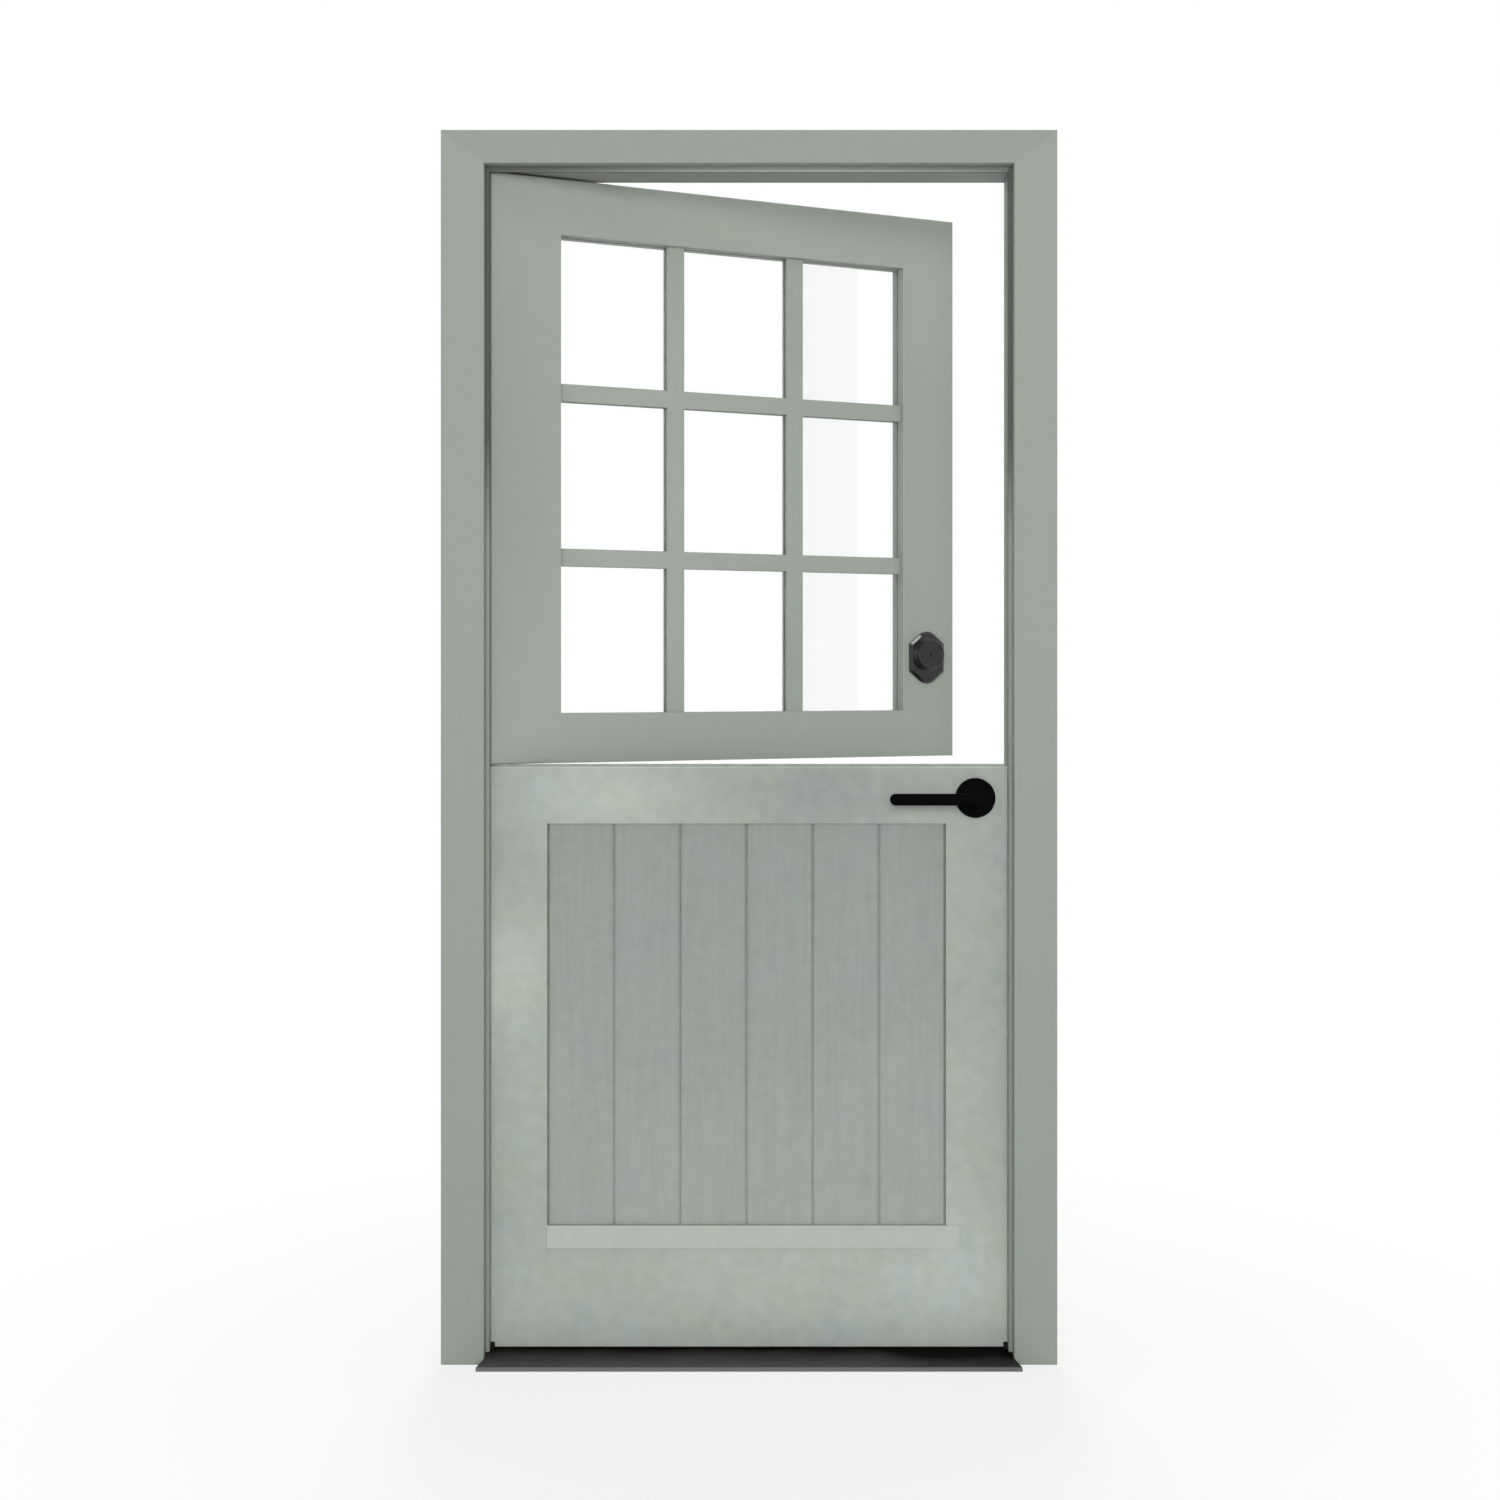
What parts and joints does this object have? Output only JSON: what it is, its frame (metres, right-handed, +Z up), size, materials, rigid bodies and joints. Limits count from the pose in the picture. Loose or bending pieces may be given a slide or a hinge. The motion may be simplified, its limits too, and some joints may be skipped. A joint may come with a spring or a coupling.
{
  "type": "dutch stable door",
  "caption": "Split stable door in its painted frame: glazed upper leaf and boarded lower leaf swing separately, with lever latch, deadbolt and joining bolt.",
  "frame": {"origin": "On the floor under the middle of the opening, in the plane of the wall's outer face", "axes": "+X from the hinge side to the lock side, +Y inwards through the wall, +Z up"},
  "size_m": [1.061, 0.4995, 2.125],
  "materials": {
    "frame_paint": "satin sage green paint",
    "upper_leaf_paint": "satin sage green paint",
    "lower_leaf_paint": "satin sage green paint",
    "board_paint": "satin sage green paint",
    "pale_paint": "satin pale sage paint",
    "stop_strip": "satin sage green paint",
    "seal_green": "matt grey green",
    "seal_rubber": "matt",
    "sill_metal": "dark bronze anodised",
    "sill_wood": "dark stained",
    "lever_black": "satin black",
    "lock_black": "gloss black",
    "steel": "satin",
    "glass": "clear"
  },
  "bodies": {
    "frame": {"hinge_jamb": "frame_paint", "lock_jamb": "frame_paint", "head_jamb": "frame_paint", "casing_left": "frame_paint", "casing_right": "frame_paint", "casing_head": "frame_paint", "stop_hinge_side": "stop_strip", "stop_lock_side": "stop_strip", "stop_head": "stop_strip", "frame_seals": "seal_rubber", "sill_core": "sill_wood", "sill_cap": "sill_metal", "sill_riser": "sill_metal", "corner_pads": "seal_rubber", "frame_hinge_plates": "steel", "hinge_pins": "steel", "latch_strike": "steel", "deadbolt_strike": "steel"},
    "upper_leaf": {"upper_hinge_stile": "upper_leaf_paint", "upper_lock_stile": "upper_leaf_paint", "upper_top_rail": "upper_leaf_paint", "upper_bottom_rail": "upper_leaf_paint", "upright_bar_hinge_side": "upper_leaf_paint", "upright_bar_lock_side": "upper_leaf_paint", "level_bars_upper": "upper_leaf_paint", "level_bars_lower": "upper_leaf_paint", "glass_panes": "glass", "glazing_beads": "upper_leaf_paint", "upper_hinge_plates": "steel", "deadbolt_escutcheon": "lock_black", "deadbolt_collar": "lock_black", "key_plug": "lock_black", "deadbolt_case": "steel", "thumbturn_plate": "lock_black", "joining_keep": "lever_black"},
    "deadbolt_turn": {"thumbturn": "lock_black"},
    "deadbolt": {"deadbolt_bolt": "steel"},
    "lower_leaf": {"lower_hinge_stile": "lower_leaf_paint", "lower_lock_stile": "lower_leaf_paint", "lower_top_rail": "lower_leaf_paint", "lower_bottom_rail": "lower_leaf_paint", "board_1": "board_paint", "board_2": "board_paint", "board_3": "board_paint", "board_4": "board_paint", "board_5": "board_paint", "board_6": "board_paint", "boards_sill_bar": "pale_paint", "bottom_sweep": "seal_rubber", "meeting_seal": "seal_green", "lower_hinge_plates": "steel", "rose_outside": "lever_black", "rose_inside": "lever_black", "latch_case": "steel", "joining_bolt_plate": "lever_black"},
    "lever_set": {"lever_outside": "lever_black", "lever_inside": "lever_black", "spindle": "steel"},
    "latch": {"latch_bolt": "steel"},
    "joining_bolt": {"joining_bolt_rod": "lever_black"}
  },
  "joints": [
    {"name": "upper_swing", "type": "hinge", "parent": "frame", "child": "upper_leaf", "pos_m": [-0.469, 0.074, 1.518], "axis": [0, 0, 1], "range_deg": [-24, 71]},
    {"name": "lower_swing", "type": "hinge", "parent": "frame", "child": "lower_leaf", "pos_m": [-0.469, 0.074, 0.55175], "axis": [0, 0, 1], "range_deg": [0, 95]},
    {"name": "lever_turn", "type": "hinge", "parent": "lower_leaf", "child": "lever_set", "pos_m": [0.3935, 0.0435, 0.973], "axis": [0, -1, 0], "range_deg": [0, 40], "stiffness_Nm_per_rad": 2, "springref_deg": -28.65},
    {"name": "latch_slide", "type": "slide", "parent": "lower_leaf", "child": "latch", "axis": [1, 0, 0], "range_m": [-0.012, 0]},
    {"name": "deadbolt_turn", "type": "hinge", "parent": "upper_leaf", "child": "deadbolt_turn", "pos_m": [0.33134, 0.39695, 1.226], "axis": [-0.4067, 0.9135, 0], "range_deg": [0, 90]},
    {"name": "deadbolt_slide", "type": "slide", "parent": "upper_leaf", "child": "deadbolt", "axis": [0.9135, 0.4067, 0], "range_m": [0, 0.025]},
    {"name": "joining_bolt_slide", "type": "slide", "parent": "lower_leaf", "child": "joining_bolt", "axis": [0, 0, 1], "range_m": [0, 0.024]}
  ],
  "couplings": [
    {"joint": "latch_slide", "follows": "lever_turn", "m_per_rad": -0.017189},
    {"joint": "deadbolt_slide", "follows": "deadbolt_turn", "m_per_rad": 0.015915}
  ]
}
